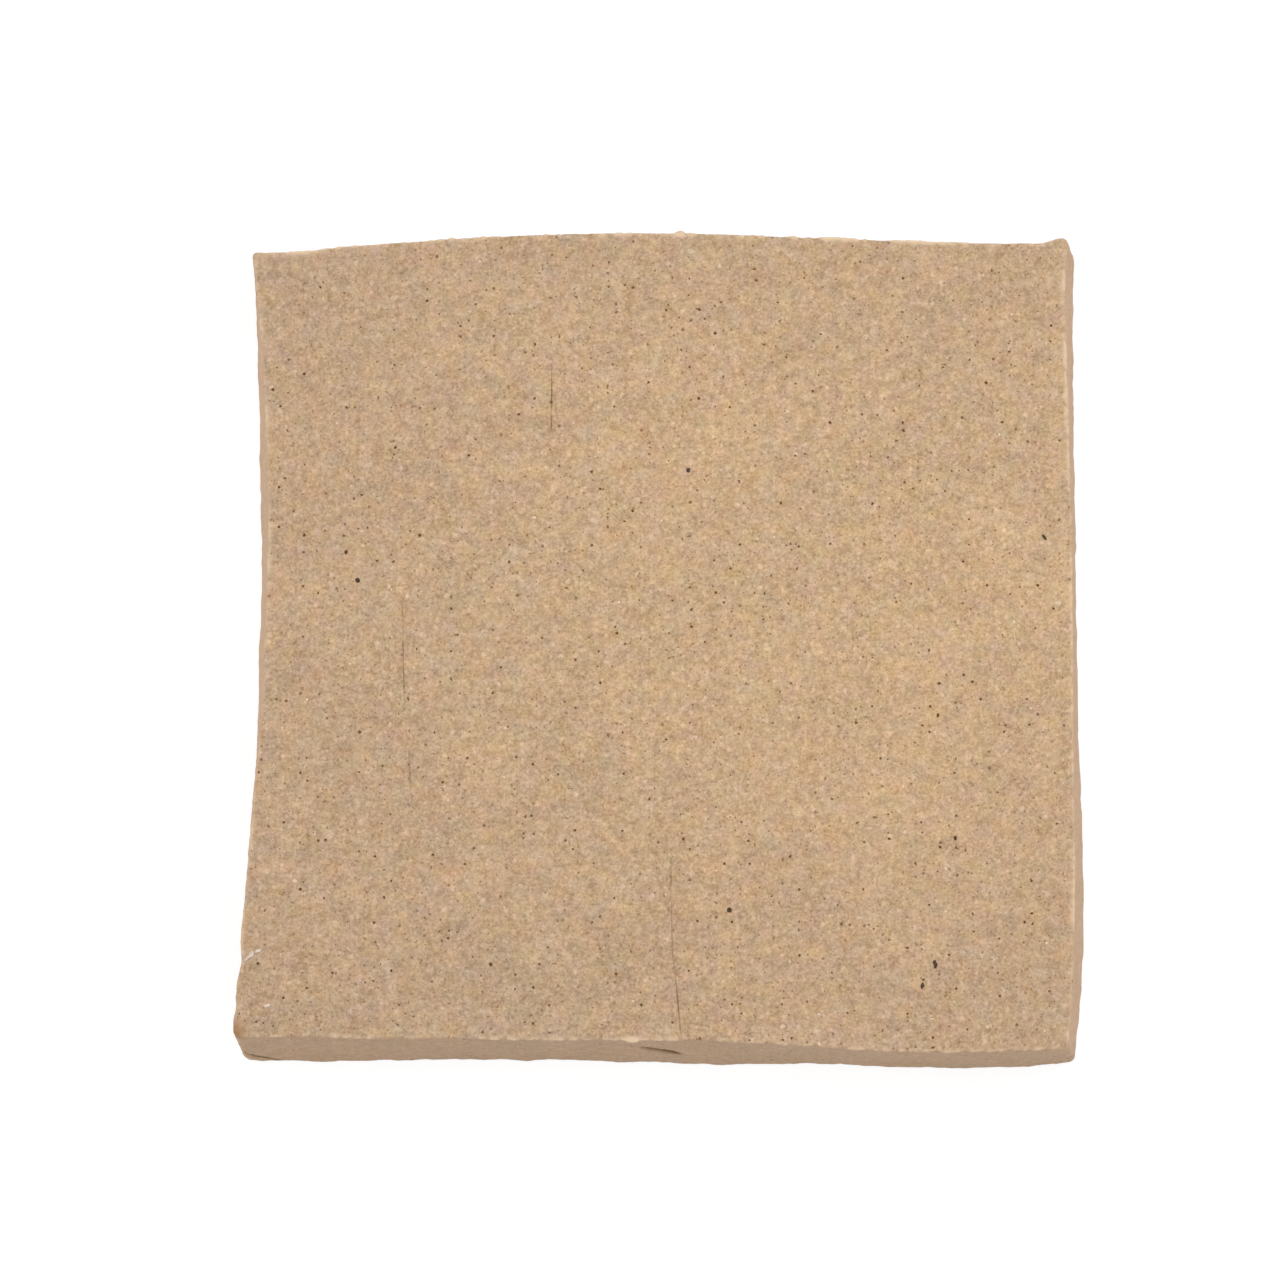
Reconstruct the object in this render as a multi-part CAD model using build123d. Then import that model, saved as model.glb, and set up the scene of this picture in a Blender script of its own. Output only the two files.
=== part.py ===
from build123d import *

import os

# A square tile of soft clay, sliced off a block with a wire and laid flat.
# Its upper face is the cut, and its four walls are the block's own skin, which spreads towards the table.
# Millimetres, +Z up, with the origin on the underside, below the middle of the tile's box.

# Plain square that the tile departs from, and the thickness of the slice
tile_width = 140.0
tile_depth = 140.0
tile_thickness = 15.0

# How far each wall stands outside the plain square, at even steps from one corner to the next.
# Walls and steps run anticlockwise, seen from above: near, right, far, left.
# The rim is the wall's upper edge, along the cut.
near_rim = (-2.9, -2.6, -2.4, -2.2, -2.1, -0.9, -0.2, -1.0)
right_rim = (-2.3, -0.9, -0.8, -0.7, -1.2, -1.4)
far_rim = (-1.4, -0.9, 0.2, 0.4, -0.9, -3.3)
left_rim = (0.3, -2.2, -2.9, -1.8, 0.3, 2.4)
# The foot is the wall's lower edge, on the table.
near_foot = (0.2, 0.5, 0.2, 0.5, 1.0, 1.0, 1.8, 0.3)
right_foot = (-0.1, 1.9, 1.3, 1.3, 1.1, 1.4)
far_foot = (0.6, 1.1, 1.7, 1.9, 0.9, -1.3)
left_foot = (0.9, -0.1, -0.7, -0.4, 0.2, 1.5)

# Rounding of the four upright corners
near_left_corner = 1.4
near_right_corner = 0.9
far_right_corner = 1.6
far_left_corner = 0.8

# Rounding left by the wire along the cut, and by the table along the underside
rim_rounding = 0.4
foot_rounding = 0.7


def outline(walls, height):
    """The tile's outline at one height: each wall is a spline, and neighbours share their corner."""
    edges = []
    for number, standouts in enumerate(walls):
        lengthwise = number % 2 == 0
        length = tile_width if lengthwise else tile_depth
        across = tile_depth if lengthwise else tile_width
        start = -length / 2 - walls[number - 1][-1]
        end = length / 2 + walls[(number + 1) % len(walls)][0]
        step = (end - start) / (len(standouts) - 1)
        points = [
            (start + step * index, -across / 2 - standout)
            for index, standout in enumerate(standouts)
        ]
        edges.append(Rot(0, 0, 90 * number) * Spline(*points))
    return Pos(0, 0, height) * make_face(edges)


def upright_edge(solid, x_side, y_side):
    """The edge that runs from foot to rim at one corner of the tile."""
    corner = (x_side * tile_width / 2, y_side * tile_depth / 2, tile_thickness / 2)
    return solid.edges().sort_by_distance(corner)[0]


foot = outline((near_foot, right_foot, far_foot, left_foot), 0)
rim = outline((near_rim, right_rim, far_rim, left_rim), tile_thickness)
tile = loft([foot, rim], ruled=True)

for x_side, y_side, radius in (
    (-1, -1, near_left_corner),
    (1, -1, near_right_corner),
    (1, 1, far_right_corner),
    (-1, 1, far_left_corner),
):
    tile = fillet(upright_edge(tile, x_side, y_side), radius)

tile = fillet(tile.faces().sort_by(Axis.Z)[-1].edges(), rim_rounding)
tile = fillet(tile.faces().sort_by(Axis.Z)[0].edges(), foot_rounding)

box = tile.bounding_box()
tile = Pos(-box.center().X, -box.center().Y, -box.min.Z) * tile

os.makedirs("parts", exist_ok=True)
export_step(tile, "parts/clay_tile.step")
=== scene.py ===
import math

import bmesh
import bpy
import numpy as np
from mathutils import Euler, Matrix, Vector, noise
from mathutils.bvhtree import BVHTree


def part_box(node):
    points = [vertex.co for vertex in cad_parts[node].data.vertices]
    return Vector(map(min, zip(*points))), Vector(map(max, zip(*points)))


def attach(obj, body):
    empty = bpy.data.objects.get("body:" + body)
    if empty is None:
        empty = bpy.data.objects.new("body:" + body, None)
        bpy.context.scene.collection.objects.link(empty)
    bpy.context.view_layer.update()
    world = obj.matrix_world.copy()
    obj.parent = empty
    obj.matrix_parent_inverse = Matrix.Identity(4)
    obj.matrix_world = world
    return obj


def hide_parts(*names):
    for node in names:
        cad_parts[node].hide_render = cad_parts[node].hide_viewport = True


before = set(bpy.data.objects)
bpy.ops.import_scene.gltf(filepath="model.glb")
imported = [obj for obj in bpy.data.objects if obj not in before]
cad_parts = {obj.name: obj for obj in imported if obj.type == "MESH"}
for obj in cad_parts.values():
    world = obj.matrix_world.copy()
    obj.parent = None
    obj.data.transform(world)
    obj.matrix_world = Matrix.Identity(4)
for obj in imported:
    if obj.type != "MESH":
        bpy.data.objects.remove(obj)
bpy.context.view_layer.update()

# The slab: one slice of soft grogged clay, cut off a block with a wire and laid on a board.
# It is a cube cut into a fine grid and drawn out to the walls of the solid, with closer rows along
# every edge, so that the rim of the cut and the foot keep their small roundings.
mm = 0.001
tiny = 1e-9
face_rows = 250
wall_rows = 24
close_rows = 3
close_band = 0.8 * mm
tile_low, tile_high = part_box("clay_tile")
tile_size = tile_high - tile_low

slab = bmesh.new()
bmesh.ops.create_cube(slab, size=1.0)


def upright_edges():
    """The edges that run all the way from the foot to the rim."""
    return [edge for edge in slab.edges if abs(edge.verts[0].co.z - edge.verts[1].co.z) > 0.5]


uprights = set(upright_edges())
levels = [edge for edge in slab.edges if edge not in uprights]
bmesh.ops.subdivide_edges(slab, edges=levels, cuts=face_rows - 1, use_grid_fill=True)
bmesh.ops.subdivide_edges(slab, edges=upright_edges(), cuts=wall_rows - 1, use_grid_fill=True)

# The cut face, the walls and the underside each have a finish of their own, and so do the grains.
cut_finish, wall_finish, under_finish, iron_finish, flake_finish, grog_finish = range(6)
slab.normal_update()
for face in slab.faces:
    face.smooth = True
    if abs(face.normal.z) < 0.5:
        face.material_index = wall_finish
    else:
        face.material_index = cut_finish if face.normal.z > 0 else under_finish

slab_mesh = bpy.data.meshes.new("clay_slab")
slab.to_mesh(slab_mesh)
slab.free()


def read_vectors(name):
    """A vector of every vertex, such as its place or its normal, as rows of three numbers."""
    values = np.empty(len(slab_mesh.vertices) * 3)
    slab_mesh.vertices.foreach_get(name, values)
    return values.reshape(-1, 3)


def close_ends(share, rows, length):
    """Even rows from 0 to 1, but for a few closer ones at both ends."""
    band = close_rows / rows
    reach = close_band / length
    return np.interp(share, (0, band, 1 - band, 1), (0, reach, 1 - reach, 1))


share = read_vectors("co") + 0.5
rows = np.rint(share * (face_rows, face_rows, wall_rows))
share_x = close_ends(share[:, 0], face_rows, tile_size.x)
share_y = close_ends(share[:, 1], face_rows, tile_size.y)
height = close_ends(share[:, 2], wall_rows, tile_size.z) * tile_size.z

wall_gaps = np.column_stack((share_x, 1 - share_x, share_y, 1 - share_y)) * tile_size.x
left_wall, right_wall, near_wall, far_wall = range(4)
wall_number = wall_gaps.argmin(axis=1)
edge_gap = wall_gaps.min(axis=1)
on_wall = edge_gap < tiny
below_rim = tile_size.z - height
rim_gap = edge_gap + below_rim

# The walls of the solid are felt for from outside, at two heights between the roundings.
solid = BVHTree.FromObject(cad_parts["clay_tile"], bpy.context.evaluated_depsgraph_get())
foot_height = 1.0 * mm
rim_height = tile_size.z - 0.7 * mm
corner_margin = 8.0 * mm
station_count = 120


def wall_line(axis, side, level):
    """Stations along one wall and where the wall stands there, run on straight into both corners."""
    along = 1 - axis
    ends = (tile_low[along], tile_high[along])
    stations = np.linspace(ends[0] + corner_margin, ends[1] - corner_margin, station_count)
    inward = Vector((0, 0, 0))
    inward[axis] = -side
    stands = []
    for station in stations:
        start = Vector((0, 0, level))
        start[along] = station
        start[axis] = side * tile_size.x
        stands.append(solid.ray_cast(start, inward)[0][axis])
    slopes = np.gradient(stands, stations)
    first = stands[0] + slopes[0] * (ends[0] - stations[0])
    last = stands[-1] + slopes[-1] * (ends[1] - stations[-1])
    return np.concatenate((ends[:1], stations, ends[1:])), np.concatenate(([first], stands, [last]))


wall_lines = {
    (axis, side): (wall_line(axis, side, foot_height), wall_line(axis, side, rim_height))
    for axis in (0, 1)
    for side in (-1, 1)
}


def wall_stand(axis, side, along):
    """Where a wall stands, at every vertex's own height and place along the wall."""
    foot, rim = wall_lines[axis, side]
    low = np.interp(along, *foot)
    high = np.interp(along, *rim)
    return low + (high - low) * (height - foot_height) / (rim_height - foot_height)


def smooth_fade(distance, reach):
    """1 at no distance, falling smoothly to 0 at the reach."""
    t = np.clip(1 - distance / reach, 0, 1)
    return t * t * (3 - 2 * t)


closing_reach = 2.3 * mm
full_weight = 0.999


def bend_rows(moving, along, rows, weight, points, reach, closeness):
    """Bends rows of vertices so that the nearest row runs along a drawn line.

    The points are (place along the line, place across it) in millimetres. The rows beside the line
    move with it, less and less up to the reach, and close in on it. Each vertex takes part by its
    weight, and the line itself lies where the weight is full. Gives every vertex's distance from the
    line, and its distance from the nearer end of the line along it.
    """
    stations, goals = np.array(points).T * mm
    goal = np.interp(along, stations, goals)
    from_end = np.minimum(along - stations[0], stations[-1] - along)
    held = smooth_fade(-np.minimum(from_end, 0), reach)
    miss = np.abs(moving - goals.mean()) + np.abs(along - stations.mean())
    full = weight > full_weight
    line = full & (rows == rows[np.where(full, miss, 1).argmin()])
    order = np.argsort(along[line])
    base = np.interp(along, along[line][order], moving[line][order])
    offset = moving - base
    shift = (goal - base) * smooth_fade(np.abs(offset), reach)
    closing = offset * closeness * smooth_fade(np.abs(offset), closing_reach)
    moving += (shift - closing) * held * weight
    return np.where(full, np.abs(moving - goal), 1), from_end


# Two tears in the skin of the near wall: a slanting gash, and a crack over a sliver at the left corner.
# The rows of the wall bend to run along them before the vertices are set on the walls.
# Each tear is (how far off the rows bend, half width, points), with its points (across, up) in millimetres.
tears = (
    (6.5 * mm, 0.75 * mm, ((-2.2, 10.5), (1.0, 8.7), (4.8, 6.4))),
    (3.0 * mm, 0.65 * mm, ((-71.6, 5.4), (-69.6, 3.0), (-65.8, 1.1))),
)
tear_closeness = 0.5
tear_end = 0.6 * mm
across = tile_low.x + share_x * tile_size.x
near_skin = on_wall & (wall_number == near_wall)
torn = np.zeros(len(share))
for reach, half_width, points in tears:
    gap, from_end = bend_rows(height, across, rows[:, 2], near_skin, points, reach, tear_closeness)
    torn = np.maximum(torn, smooth_fade(gap, half_width) * np.clip(from_end / tear_end, 0, 1))

# Each wall bends along its length, so the vertices find their places between the walls in a few rounds.
settling_rounds = 3
deep = tile_low.y + share_y * tile_size.y
for _ in range(settling_rounds):
    left, right = (wall_stand(0, side, deep) for side in (-1, 1))
    across = left + (right - left) * share_x
    near, far = (wall_stand(1, side, across) for side in (-1, 1))
    deep = near + (far - near) * share_y

# The four upright corners are rounded as in the solid: a square of rows becomes a quarter of a disc.
corner_radius = {(-1, -1): 1.4 * mm, (1, -1): 0.9 * mm, (1, 1): 1.6 * mm, (-1, 1): 0.8 * mm}
for (x_side, y_side), radius in corner_radius.items():
    x_gap = across - left if x_side < 0 else right - across
    y_gap = deep - near if y_side < 0 else far - deep
    inside = (x_gap < radius) & (y_gap < radius)
    p = 1 - x_gap[inside] / radius
    q = 1 - y_gap[inside] / radius
    across[inside] -= x_side * radius * (p - p * np.sqrt(1 - q * q / 2))
    deep[inside] -= y_side * radius * (q - q * np.sqrt(1 - p * p / 2))

# The walls and the close rows beside them are then set on the solid itself, roundings and all.
places = np.column_stack((across, deep, height))
for index in np.flatnonzero(edge_gap < 1.1 * close_band):
    places[index] = solid.find_nearest(Vector(places[index]))[0]
slab_mesh.vertices.foreach_set("co", places.ravel())
slab_mesh.update()
normals = read_vectors("normal")

# Outward is level and square to the nearest wall, and turns from one wall to the next at a corner.
corner_turn = 6 * mm
wall_directions = np.array(((-1, 0, 0), (1, 0, 0), (0, -1, 0), (0, 1, 0)))
outward = smooth_fade(wall_gaps, corner_turn) @ wall_directions
outward /= np.maximum(np.linalg.norm(outward, axis=1), tiny)[:, None]


def lumps(size, offset, stretch=(1, 1, 1)):
    """Smooth noise at every vertex, from about -1 to 1, with lumps of a given size."""
    points = places / (size * np.array(stretch)) + offset
    return np.array([noise.noise(point) for point in points.tolist()])


# The tears are open more in some places than in others, and painted dark inside as shade.
torn *= np.clip(0.95 + 0.9 * lumps(1.1 * mm, 15.2), 0.5, 1)
painted_crevice_shade = np.clip(2.4 * torn, 0, 1)

# Slits that stiff grains dragged through the cut face behind the wire, open more in some places.
# The points of each are (deep, across) in millimetres and how far it is open there.
slits = (
    ((48.2, -18.8, 0.7), (43.0, -18.8, 0.8), (35.6, -18.9, 0.75)),
    ((7.5, -44.1, 0.3), (-2.0, -43.9, 0.7), (-13.8, -43.5, 0.2), (-20.0, -42.8, 0.35), (-29.0, -42.2, 0.6)),
    ((-36.4, 1.4, 0.45), (-48.2, 1.6, 0.45), (-53.4, 1.7, 0.5), (-55.8, 2.1, 0.6), (-67.2, 3.15, 0.75)),
)
slit_depth = 0.35 * mm
slit_half_width = 0.12 * mm
slit_end = 1.5 * mm
slit_reach = 8 * mm
slit_closeness = 0.84
slit_weight = smooth_fade(below_rim, 6 * mm)
for number, points in enumerate(slits):
    drawn = np.array(sorted(points))
    line = drawn[:, :2]
    x, y = places[:, 0], places[:, 1]
    gap, from_end = bend_rows(x, y, rows[:, 0], slit_weight, line, slit_reach, slit_closeness)
    opening = np.interp(y, drawn[:, 0] * mm, drawn[:, 2])
    opening *= np.clip(0.85 + 0.9 * lumps(2.5 * mm, 20.5 + number), 0.4, 1)
    slit = opening * np.clip(from_end / slit_end, 0, 1) * smooth_fade(gap, slit_half_width)
    places[:, 2] -= slit_depth * slit
    # The slits are painted dark along their depth as well, as painted shade in the grooves.
    painted_crevice_shade = np.maximum(painted_crevice_shade, slit)

# Relief, in millimetres: grains and long waves in the cut face, lumps and level streaks in the walls.
# The left and right walls swell a little. The near foot has a hollow below the gash, and the sliver
# at its left end lies a little behind the wall.
sliver_place = -70.0 * mm
hollow_place = -0.7 * mm
foot_share = smooth_fade(height, 4 * mm)
cut_share = smooth_fade(below_rim, 0.8 * mm)
wall_share = np.where(on_wall, 1 - cut_share, 0)
sliver = near_skin * smooth_fade(np.abs(across - sliver_place), 3 * mm) * smooth_fade(height, 2.2 * mm)
hollow = near_skin * smooth_fade(np.abs(across - hollow_place), 5 * mm) * foot_share
cut_relief = (
    0.10 * lumps(22 * mm, 0.4)
    + 0.07 * lumps(5 * mm, 3.1)
    + 0.08 * lumps(1.7 * mm, 7.7)
    + 0.05 * lumps(0.8 * mm, 5.5, (1, 50, 10))
    - 0.15
)
wall_relief = (
    0.22 * lumps(16 * mm, 9.2)
    + 0.12 * (1 + foot_share) * lumps(4 * mm, 4.4)
    + 0.10 * foot_share * lumps(1.5 * mm, 1.4)
    + 0.08 * lumps(1.2 * mm, 2.2, (25, 25, 1))
    + 0.08 * lumps(1.0 * mm, 12.6)
    + 0.12 * np.abs(outward[:, 0])
    - 0.10 * sliver
    - 0.40 * hollow
    - 0.70 * torn
)
relief = cut_share * np.minimum(cut_relief, 0) + wall_share * wall_relief
places += normals * (relief * mm)[:, None]

# A thin ragged burr hangs over the rim, with its own cover and strength on the left, right, near and
# far walls, and is wider in one flap on the near wall and one on the far wall.
# Each flap is (wall, across, half width, strength), with its place and width in millimetres.
burr_cover = np.array((0.25, 0.5, 0.25, 0.35))
burr_strength = np.array((0.8, 1.0, 1.0, 1.6))
burr_width = 0.9 * mm
burr_reach = 0.24 * mm
burr_corner = 2.5 * mm
flaps = ((near_wall, -4.95, 1.7, 2.9), (far_wall, 3.1, 1.9, 1.7))
ragged = 1.2 * lumps(6 * mm, 11.3) + 1.3 * lumps(0.9 * mm, 6.1)
burr_and_highlight = np.clip(burr_cover[wall_number] + ragged, 0, 1) * burr_strength[wall_number]
for wall, flap_place, half_width, strength in flaps:
    beside = np.abs(places[:, 0] - flap_place * mm)
    burr_and_highlight += strength * np.clip(1 - beside / (half_width * mm), 0, 1) * (wall_number == wall)
corner_gap = np.sort(wall_gaps, axis=1)[:, 1]
burr_and_highlight *= smooth_fade(rim_gap, burr_width) * (1 - smooth_fade(corner_gap, burr_corner))
places += outward * (burr_and_highlight * burr_reach)[:, None]
# The burr and the sliver are painted pale: partly the paler clay of the burr, partly a painted highlight
# where the rim and the sliver catch the light.
burr_and_highlight = np.clip(burr_and_highlight + 0.9 * sliver, 0, 1)

# The near half of the left rim is ragged where grains broke away, with two larger chips.
# Each chip is (deep, half length, depth) in millimetres.
chips = ((-54.6, 3.5, 0.55), (-62.6, 2.4, 0.35))
chip_reach = 5 * mm
crumble_depth = 0.35
crumble_reach = 1.5 * mm
on_left = wall_number == left_wall
near_half = places[:, 1] < 0
crumbled = np.clip(0.2 + lumps(1.1 * mm, 8.3), 0, 1) * smooth_fade(rim_gap, crumble_reach) * near_half
broken = crumble_depth * crumbled
for deep_place, half_length, depth in chips:
    beside = np.abs(places[:, 1] - deep_place * mm)
    broken += depth * smooth_fade(beside, half_length * mm) * smooth_fade(rim_gap, chip_reach)
places -= outward * (on_left * broken * mm)[:, None]

# As it left the block, the wire pulled a small ear out of the far right corner of the rim, and the
# corner below came out with it a little. It left a sharp tip on the far left corner and drew in the
# rim beside it. Each pull is (across, deep, radius, fade below the rim, pull across, pull deep) in mm.
corner_pulls = (
    (68.3, 68.8, 3.6, 15.0, 0.65, 1.0),
    (71.0, 68.0, 5.0, 60.0, 0.4, 0.0),
    (-69.6, 66.6, 2.0, 8.0, -0.12, 0.32),
    (-61.0, 67.4, 7.5, 15.0, 0.0, -0.28),
)
for x, y, radius, fade, pull_x, pull_y in corner_pulls:
    from_pull = np.hypot(places[:, 0] - x * mm, places[:, 1] - y * mm)
    pulled = smooth_fade(from_pull, radius * mm) * smooth_fade(below_rim, fade * mm)
    places += pulled[:, None] * np.array((pull_x, pull_y, 0.0)) * mm

# A brown smear on the near left corner of the rim.
smear_place = np.array((-72.3, -66.7)) * mm
smear_radius = 3.6 * mm
smear_gap = np.hypot(*(places[:, :2] - smear_place).T)
smear = smooth_fade(smear_gap, smear_radius) * smooth_fade(below_rim, 3 * mm)

# A painted pool of light on the cut face: paler and yellower right of its middle, darker towards its edges.
light_pool_across = 30 * mm
light_pool_deep = 6 * mm
light_pool_reach = 150 * mm
from_light_pool = np.hypot(places[:, 0] - light_pool_across, 1.4 * (places[:, 1] - light_pool_deep))
painted_light_pool = 0.5 + cut_share * (smooth_fade(from_light_pool, light_pool_reach) - 0.5)

places = np.clip(places, tile_low, tile_high)
slab_mesh.vertices.foreach_set("co", places.ravel())
slab_mesh.update()
for name, values in (("burr_and_highlight", burr_and_highlight), ("smear", smear), ("painted_crevice_shade", painted_crevice_shade), ("painted_light_pool", painted_light_pool)):
    attribute = slab_mesh.attributes.new(name, "FLOAT", "POINT")
    attribute.data.foreach_set("value", values.astype(np.float32))

tile = bpy.data.objects.new("clay_tile_body", slab_mesh)
bpy.context.scene.collection.objects.link(tile)

# The underside lies on the board and is flat, so most of its rows can go.
kept_share = 0.62
flat = np.flatnonzero((height < tiny) & (edge_gap > 1.5 * mm))
tile.vertex_groups.new(name="underside").add(flat.tolist(), 1.0, "REPLACE")
thinning = tile.modifiers.new("thin_underside", "DECIMATE")
thinning.vertex_group = "underside"
thinning.ratio = kept_share
tile_mesh = bpy.data.meshes.new_from_object(tile.evaluated_get(bpy.context.evaluated_depsgraph_get()))
tile.modifiers.clear()
tile.vertex_groups.clear()
tile.data = tile_mesh
tile_mesh.name = "clay_tile_body"

# The largest grains in the clay, which the wire laid bare: dark iron, pale grog, and glassy flakes by
# both near corners. Each is a small uneven pebble that sits half sunk in the cut face.
# Each is given as (across, deep, half width, half length, turn in degrees), in millimetres.
iron_grains = (
    (45.8, -55.1, 0.32, 0.68, 12),
    (43.7, -58.7, 0.30, 0.52, -8),
    (11.3, -46.0, 0.42, 0.45, 0),
    (-51.7, 10.2, 0.42, 0.45, 0),
    (49.4, -33.8, 0.33, 0.38, 0),
    (4.5, 29.2, 0.34, 0.40, 0),
    (65.0, 17.6, 0.26, 0.60, 35),
    (-53.7, 15.0, 0.30, 0.36, 0),
)
grog_grains = (
    (20.2, -65.6, 0.42, 0.52, -60),
    (-46.3, 9.1, 0.33, 0.60, 0),
    (-61.9, -41.1, 0.35, 0.50, 90),
    (-55.4, 37.3, 0.28, 0.36, 0),
    (54.5, -65.7, 0.34, 0.42, 80),
    (-32.9, 56.7, 0.28, 0.36, 80),
)
flakes = (
    (-69.7, -54.1, 0.24, 0.75, -50),
    (-69.0, -53.4, 0.40, 0.60, -30),
    (-67.9, -52.9, 0.26, 0.62, -65),
    (-66.3, -62.1, 0.28, 0.55, -85),
    (64.1, -66.4, 0.22, 0.28, -40),
    (63.2, -59.6, 0.18, 0.22, 0),
)
grain_half_height = 0.22 * mm
grain_unevenness = 0.5
grain_lump_rate = 1.8
body = bmesh.new()
body.from_mesh(tile_mesh)
surface = BVHTree.FromBMesh(body)
light_pool_layer = body.verts.layers.float["painted_light_pool"]
for grains, finish in ((iron_grains, iron_finish), (grog_grains, grog_finish), (flakes, flake_finish)):
    for x, y, half_width, half_length, turn in grains:
        top = surface.ray_cast(Vector((x * mm, y * mm, 1.0)), Vector((0, 0, -1)))[0]
        size = Vector((half_width * mm, half_length * mm, grain_half_height))
        seat = Matrix.LocRotScale(top, Euler((0, 0, math.radians(turn))), size)
        corners = bmesh.ops.create_icosphere(body, subdivisions=2, radius=1.0)["verts"]
        for vertex in corners:
            lump = noise.noise(vertex.co * grain_lump_rate + Vector((x, y, 0)))
            vertex.co = seat @ (vertex.co * (1 + grain_unevenness * lump))
            vertex.co.z = min(vertex.co.z, tile_high.z)
            vertex[light_pool_layer] = 0.5
        for face in {face for vertex in corners for face in vertex.link_faces}:
            face.material_index = finish
            face.smooth = True
body.to_mesh(tile_mesh)
body.free()


# Finishes of the clay. The grain is one solid pattern that all sides of the slab cut through,
# so one group holds it, and each side's finish has it at a strength of its own.
def shade(red, green, blue):
    """A colour as a screen shows it, from 0 to 255, as the light that it stands for."""
    values = (value / 255 for value in (red, green, blue))
    return tuple(v / 12.92 if v <= 0.04045 else ((v + 0.055) / 1.055) ** 2.4 for v in values) + (1.0,)


def add_node(tree, kind, inputs, **settings):
    """A node with its settings; each input is a plain value or the socket that feeds it."""
    made = tree.nodes.new(kind)
    for name, value in settings.items():
        setattr(made, name, value)
    for key, value in inputs.items():
        if isinstance(value, bpy.types.NodeSocket):
            tree.links.new(value, made.inputs[key])
        else:
            made.inputs[key].default_value = value
    return made


def maths(tree, operation, first, second):
    """The result of one operation on two values."""
    return add_node(tree, "ShaderNodeMath", {0: first, 1: second}, operation=operation).outputs[0]


def remap(tree, value, low, high, to_low=0.0, to_high=1.0, kind="SMOOTHSTEP"):
    """A value carried over from one range to another, and held at the ends."""
    inputs = {"Value": value, "From Min": low, "From Max": high, "To Min": to_low, "To Max": to_high}
    return add_node(tree, "ShaderNodeMapRange", inputs, interpolation_type=kind).outputs[0]


def mix(tree, factor, first, second, blend="MIX"):
    """A mix of two colours; the node has its sockets for colours after those for other values."""
    inputs = {0: factor, 6: first, 7: second}
    return add_node(tree, "ShaderNodeMix", inputs, data_type="RGBA", blend_type=blend).outputs[2]


grain = bpy.data.node_groups.new("clay_grain", "ShaderNodeTree")
grain.interface.new_socket("Place", in_out="INPUT", socket_type="NodeSocketVector")
for name in ("Tone", "Specks", "Dots", "Painted glints", "Height"):
    grain.interface.new_socket(name, in_out="OUTPUT", socket_type="NodeSocketFloat")
grain.interface.new_socket("Tint", in_out="OUTPUT", socket_type="NodeSocketColor")
grain_in = add_node(grain, "NodeGroupInput", {})
grain_out = add_node(grain, "NodeGroupOutput", {})
grain_at = add_node(
    grain, "ShaderNodeVectorMath", {0: grain_in.outputs[0], "Scale": 1 / mm}, operation="SCALE"
).outputs[0]


def total(*terms):
    """The sum of values, each with its weight."""
    result = 0.0
    for value, weight in terms:
        inputs = {0: value, 1: weight, 2: result}
        result = add_node(grain, "ShaderNodeMath", inputs, operation="MULTIPLY_ADD").outputs[0]
    return result


def moved(place, by):
    """A place moved along, so that the pattern there is unlike the others."""
    return add_node(grain, "ShaderNodeVectorMath", {0: place, 1: by}, operation="ADD").outputs[0]


def cloud(place, size, octaves, roughness):
    """Soft noise around one half, with its coarsest lumps of a given size in millimetres."""
    inputs = {"Vector": place, "Scale": 1 / size, "Detail": octaves - 1.0, "Roughness": roughness}
    return add_node(grain, "ShaderNodeTexNoise", inputs).outputs[0]


smallest_spot = 0.0001
faintest_spot = 0.35


def scatter(place, size, rarity, largest, edge):
    """Round spots about scattered points: some points have none, the rest differ in size and strength."""
    cells = add_node(grain, "ShaderNodeTexVoronoi", {"Vector": place, "Scale": 1 / size})
    chances = add_node(grain, "ShaderNodeSeparateColor", {0: cells.outputs["Color"]}).outputs
    radius = remap(grain, chances[0], rarity, 1.0, smallest_spot, largest / size, "LINEAR")
    inner = maths(grain, "MULTIPLY", radius, edge)
    spot = remap(grain, cells.outputs["Distance"], inner, radius, 1.0, 0.0)
    strength = remap(grain, chances[1], 0.0, 0.8, faintest_spot, 1.0, "LINEAR")
    return maths(grain, "MULTIPLY", spot, strength)


# Grog and fine sand, in lumps of 1.6 mm down to 0.25 mm, over broad patches that differ a little.
grog = cloud(grain_at, size=1.6, octaves=3, roughness=1.0)
sand = cloud(moved(grain_at, (5.0, 9.0, 2.0)), size=0.5, octaves=2, roughness=1.0)
patches = cloud(moved(grain_at, (-8.0, 3.0, 7.0)), size=9.0, octaves=2, roughness=0.6)
drift = cloud(moved(grain_at, (3.0, -6.0, 1.0)), size=34.0, octaves=2, roughness=0.5)

# Pale pebbles and beads among the grog, dark specks and dots, and painted highlights where grains catch the
# light, all with uneven outlines.
wobble_size = 0.5
wobble_reach = 0.4
wobble_inputs = {"Vector": grain_at, "Scale": 1 / wobble_size, "Detail": 1.0}
wobble = add_node(grain, "ShaderNodeTexNoise", wobble_inputs).outputs["Color"]
wobbly_at = add_node(
    grain,
    "ShaderNodeVectorMath",
    {0: wobble, 1: (wobble_reach, wobble_reach, wobble_reach), 2: grain_at},
    operation="MULTIPLY_ADD",
).outputs[0]
pebbles = scatter(wobbly_at, size=1.3, rarity=0.1, largest=0.65, edge=0.5)
beads = scatter(moved(wobbly_at, (3.0, 11.0, 5.0)), size=0.75, rarity=0.1, largest=0.4, edge=0.45)
specks = scatter(moved(wobbly_at, (13.0, 7.0, 41.0)), size=1.4, rarity=0.0, largest=0.36, edge=0.5)
dots = scatter(moved(wobbly_at, (9.0, -7.0, 19.0)), size=0.8, rarity=0.1, largest=0.25, edge=0.4)
painted_glints = scatter(moved(wobbly_at, (-17.0, 29.0, 3.0)), size=2.4, rarity=0.55, largest=0.3, edge=0.4)
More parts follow.
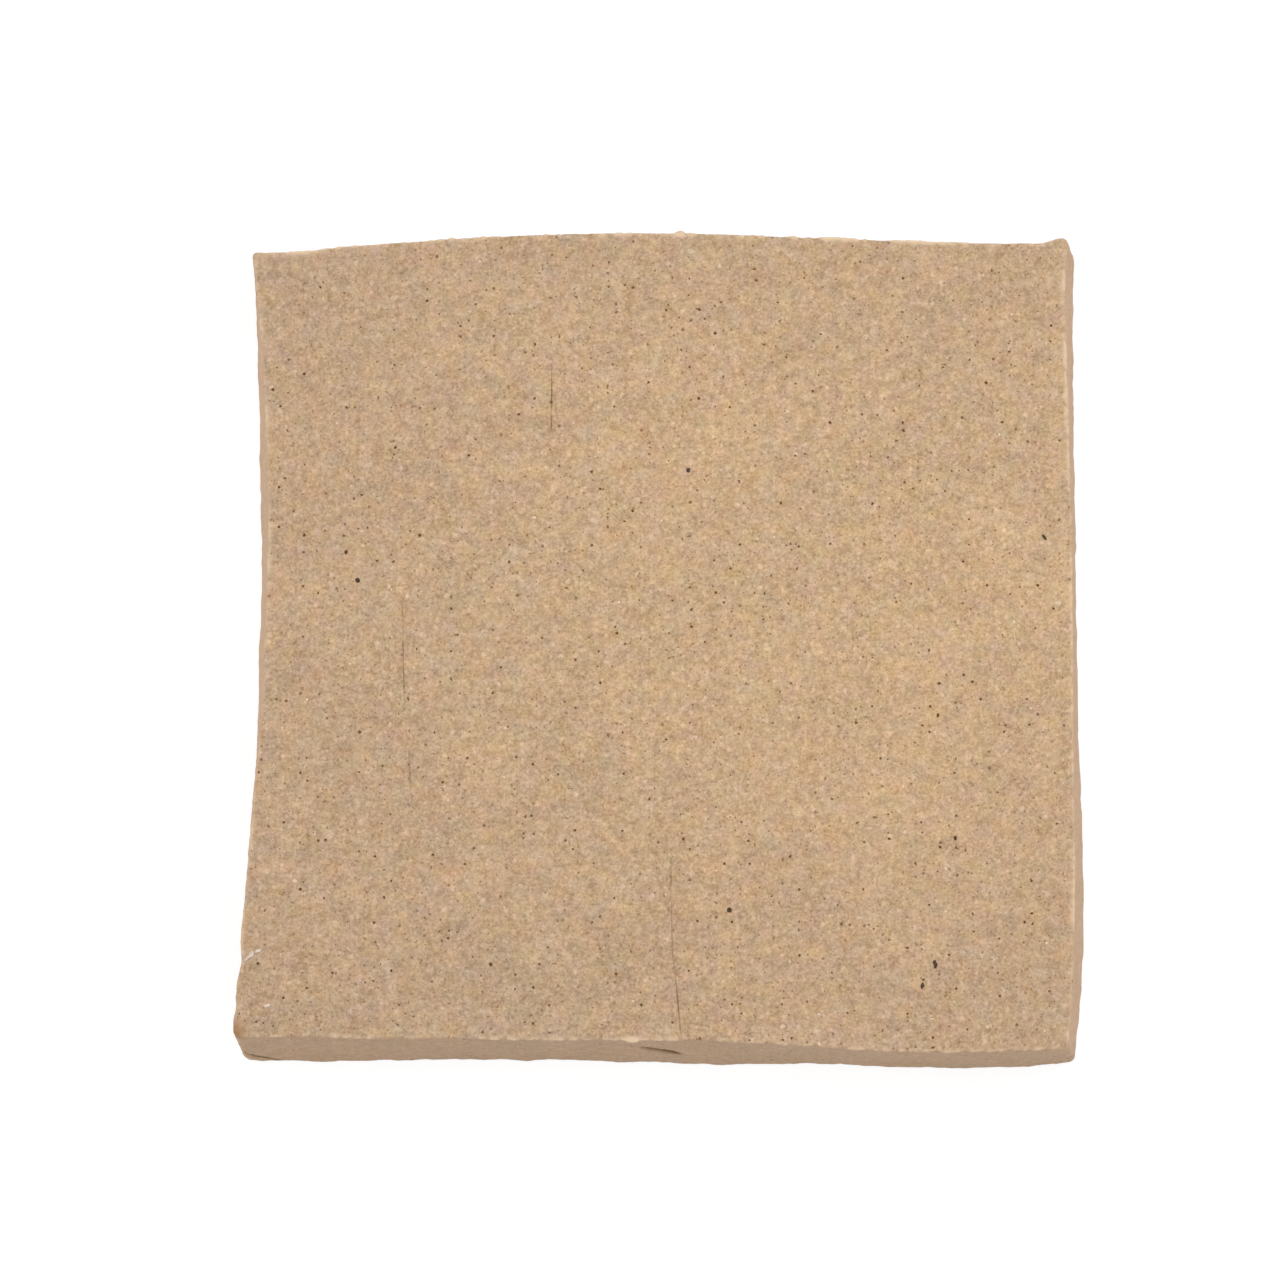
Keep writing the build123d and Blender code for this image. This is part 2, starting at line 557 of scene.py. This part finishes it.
tone = total((grog, 0.42), (sand, 0.33), (patches, 0.08), (drift, 0.05), (pebbles, 0.11), (beads, 0.09))
relief_height = total((grog, 0.5), (sand, 0.4), (pebbles, 0.3), (beads, 0.2), (specks, -0.4))

# Patches of a few millimetres are yellower or greyer, and others pinker or greener.
greyer = (0.945, 0.98, 1.12, 1.0)
yellower = (1.055, 1.02, 0.88, 1.0)
greener = (0.97, 1.03, 1.0, 1.0)
pinker = (1.03, 0.97, 1.0, 1.0)
warm_patches = cloud(moved(grain_at, (31.0, 17.0, 5.0)), size=3.4, octaves=3, roughness=0.6)
pink_patches = cloud(moved(grain_at, (-23.0, 41.0, 11.0)), size=3.8, octaves=2, roughness=0.6)
warmth = total((warm_patches, 0.8), (patches, 0.1), (drift, 0.15), (grog, 0.1), (pebbles, -0.05))
blush = total((pink_patches, 0.85), (drift, 0.15), (grog, 0.2), (pebbles, 0.08))
warm_tint = mix(grain, remap(grain, warmth, 0.325, 0.825, kind="LINEAR"), greyer, yellower)
blush_tint = mix(grain, remap(grain, blush, 0.35, 0.9, kind="LINEAR"), greener, pinker)
grain_results = {
    "Tone": tone,
    "Specks": specks,
    "Dots": dots,
    "Painted glints": painted_glints,
    "Height": relief_height,
    "Tint": mix(grain, 1.0, warm_tint, blush_tint, "MULTIPLY"),
}
for name, socket in grain_results.items():
    grain.links.new(socket, grain_out.inputs[name])

middle_tone = 0.5
# The pale spots among these are painted highlights: glints of light on grains, put into the colour.
spot_colours = {"Dots": shade(126, 86, 42), "Specks": shade(98, 61, 22), "Painted glints": shade(240, 220, 196)}
# The pale burr colour is partly the burr's own paler clay and partly a painted highlight along the rim and
# on the sliver.
mark_colours = {"burr_and_highlight": shade(228, 200, 168), "smear": shade(160, 114, 74), "painted_crevice_shade": shade(98, 66, 10)}
mark_strength = 0.9
white = (1.0, 1.0, 1.0, 1.0)
# The tints of the painted pool of light: darker and a little bluer where it fades, paler and warmer at its
# heart.
painted_shade_tint = (0.942, 0.938, 0.984, 1.0)
painted_lit_tint = (1.062, 1.054, 1.033, 1.0)
clay_gloss = 0.25


def clay_finish(name, tones, contrast, grain_share, bump_depth, roughness):
    """A finish of the clay, from its dark, middle and light tones and how strongly its grain shows."""
    material = bpy.data.materials.new(name)
    material.use_nodes = True
    tree = material.node_tree
    shader = tree.nodes["Principled BSDF"]
    place = add_node(tree, "ShaderNodeTexCoord", {}).outputs["Object"]
    clay = add_node(tree, "ShaderNodeGroup", {}, node_tree=grain)
    tree.links.new(place, clay.inputs["Place"])
    low = middle_tone - contrast
    high = middle_tone + contrast
    spread = remap(tree, clay.outputs["Tone"], low, high, kind="LINEAR")
    ramp = add_node(tree, "ShaderNodeValToRGB", {0: spread})
    stops = ramp.color_ramp.elements
    stops.new(0.5)
    for stop, position, colour in zip(stops, (0.0, 0.5, 1.0), tones):
        stop.position = position
        stop.color = colour
    light_pool_level = add_node(tree, "ShaderNodeAttribute", {}, attribute_name="painted_light_pool").outputs["Fac"]
    tint = mix(tree, grain_share, white, clay.outputs["Tint"])
    tint = mix(tree, 1.0, tint, mix(tree, light_pool_level, painted_shade_tint, painted_lit_tint), "MULTIPLY")
    colour = mix(tree, 1.0, ramp.outputs[0], tint, "MULTIPLY")
    for spots, spot_colour in spot_colours.items():
        cover = maths(tree, "MULTIPLY", clay.outputs[spots], grain_share)
        colour = mix(tree, cover, colour, spot_colour)
    for attribute, mark_colour in mark_colours.items():
        mark = add_node(tree, "ShaderNodeAttribute", {}, attribute_name=attribute).outputs["Fac"]
        colour = mix(tree, maths(tree, "MULTIPLY", mark, mark_strength), colour, mark_colour)
    tree.links.new(colour, shader.inputs["Base Color"])
    bump = add_node(tree, "ShaderNodeBump", {"Height": clay.outputs["Height"], "Distance": bump_depth})
    tree.links.new(bump.outputs[0], shader.inputs["Normal"])
    shader.inputs["Roughness"].default_value = roughness
    shader.inputs["Specular IOR Level"].default_value = clay_gloss
    return material


finishes = (
    clay_finish(
        "wire_cut_clay",
        tones=(shade(148, 117, 84), shade(199, 169, 136), shade(235, 204, 171)),
        contrast=0.25,
        grain_share=1.0,
        bump_depth=0.15 * mm,
        roughness=0.85,
    ),
    clay_finish(
        "block_skin_clay",
        tones=(shade(176, 145, 114), shade(205, 172, 140), shade(224, 192, 160)),
        contrast=0.25,
        grain_share=0.45,
        bump_depth=0.07 * mm,
        roughness=0.7,
    ),
    clay_finish(
        "board_side_clay",
        tones=(shade(150, 122, 92), shade(188, 159, 128), shade(218, 189, 158)),
        contrast=0.36,
        grain_share=0.6,
        bump_depth=0.08 * mm,
        roughness=0.8,
    ),
    clay_finish(
        "iron_grain",
        tones=(shade(48, 36, 24), shade(74, 56, 38), shade(112, 86, 60)),
        contrast=0.2,
        grain_share=0.3,
        bump_depth=0.1 * mm,
        roughness=0.6,
    ),
    clay_finish(
        "glassy_flake",
        tones=(shade(196, 176, 160), shade(226, 208, 196), shade(246, 240, 238)),
        contrast=0.15,
        grain_share=0.2,
        bump_depth=0.1 * mm,
        roughness=0.4,
    ),
    clay_finish(
        "pale_grog",
        tones=(shade(206, 176, 144), shade(226, 196, 164), shade(240, 212, 184)),
        contrast=0.2,
        grain_share=0.2,
        bump_depth=0.1 * mm,
        roughness=0.8,
    ),
)
for material in finishes:
    tile_mesh.materials.append(material)
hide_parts("clay_tile")
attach(tile, "root")

# The studio: a white ground that keeps a faint shadow of the tile, with soft boxes overhead and at
# both sides. The ground lies a hair below the underside, so that the two faces don't coincide.
ground_half_width = 4.0
ground_gap = 0.05 * mm
ground_place = Matrix.Translation((0, 0, -ground_gap))
ground = bmesh.new()
bmesh.ops.create_grid(ground, x_segments=1, y_segments=1, size=ground_half_width, matrix=ground_place)
ground_mesh = bpy.data.meshes.new("ground")
ground.to_mesh(ground_mesh)
ground.free()
floor = bpy.data.objects.new("ground", ground_mesh)
bpy.context.scene.collection.objects.link(floor)


def seen_directly(tree):
    """1 where the camera, a reflection or clear glass looks straight at the surface."""
    path = add_node(tree, "ShaderNodeLightPath", {}).outputs
    seen = maths(tree, "MAXIMUM", path["Is Camera Ray"], path["Is Glossy Ray"])
    return maths(tree, "MAXIMUM", seen, path["Is Transmission Ray"])


def by_view(tree, unseen, seen):
    """One shader for the light that falls on the tile, and another for what is seen directly."""
    inputs = {0: seen_directly(tree), 1: unseen.outputs[0], 2: seen.outputs[0]}
    return add_node(tree, "ShaderNodeMixShader", inputs).outputs[0]


bounce_grey = (0.75, 0.75, 0.75, 1.0)
shadow_grey = (0.22, 0.22, 0.22, 1.0)
glow_strength = 0.84
floor_white = bpy.data.materials.new("ground_white")
floor_white.use_nodes = True
tree = floor_white.node_tree
tree.nodes.clear()
bounce = add_node(tree, "ShaderNodeBsdfDiffuse", {"Color": bounce_grey})
shadowed = add_node(tree, "ShaderNodeBsdfDiffuse", {"Color": shadow_grey})
glow = add_node(tree, "ShaderNodeEmission", {"Color": white, "Strength": glow_strength})
shown = add_node(tree, "ShaderNodeAddShader", {0: shadowed.outputs[0], 1: glow.outputs[0]})
add_node(tree, "ShaderNodeOutputMaterial", {0: by_view(tree, bounce, shown)})
ground_mesh.materials.append(floor_white)

ambient_strength = 0.5
backdrop_strength = 1.0
world = bpy.data.worlds.new("studio")
world.use_nodes = True
tree = world.node_tree
tree.nodes.clear()
ambient = add_node(tree, "ShaderNodeBackground", {"Color": white, "Strength": ambient_strength})
backdrop = add_node(tree, "ShaderNodeBackground", {"Color": white, "Strength": backdrop_strength})
add_node(tree, "ShaderNodeOutputWorld", {0: by_view(tree, ambient, backdrop)})
bpy.context.scene.world = world


def soft_box(name, place, width, power):
    """A square soft box that faces the tile."""
    light = bpy.data.lights.new(name, "AREA")
    light.shape = "SQUARE"
    light.size = width
    light.energy = power
    lamp = bpy.data.objects.new(name, light)
    lamp.location = place
    lamp.rotation_euler = (-Vector(place)).to_track_quat("-Z", "Y").to_euler()
    bpy.context.scene.collection.objects.link(lamp)


soft_box("overhead_box", place=(0.12, 0.05, 0.8), width=0.8, power=2.8)
soft_box("left_box", place=(-0.9, 0.1, 0.6), width=0.6, power=3.1)
soft_box("right_box", place=(0.8, 0.45, 0.6), width=0.6, power=2.6)

# The camera looks almost straight down, a little from the near side, as the photograph does.
# Its lens follows from how many pixels a metre of the cut face covers in the picture.
image_width = 1280
pixels_per_metre = 5900.0
camera_distance = 0.9
camera_tilt = math.radians(8.3)
aim = Vector((-3.74 * mm, -0.08 * mm, tile_high.z))
camera_data = bpy.data.cameras.new("camera")
camera_data.sensor_width = 36.0
camera_data.lens = camera_data.sensor_width * pixels_per_metre * camera_distance / image_width
camera = bpy.data.objects.new("camera", camera_data)
camera.location = aim + camera_distance * Vector((0.0, -math.sin(camera_tilt), math.cos(camera_tilt)))
camera.rotation_euler = (camera_tilt, 0.0, 0.0)
bpy.context.scene.collection.objects.link(camera)
bpy.context.scene.camera = camera

bpy.context.scene.view_settings.view_transform = "Standard"
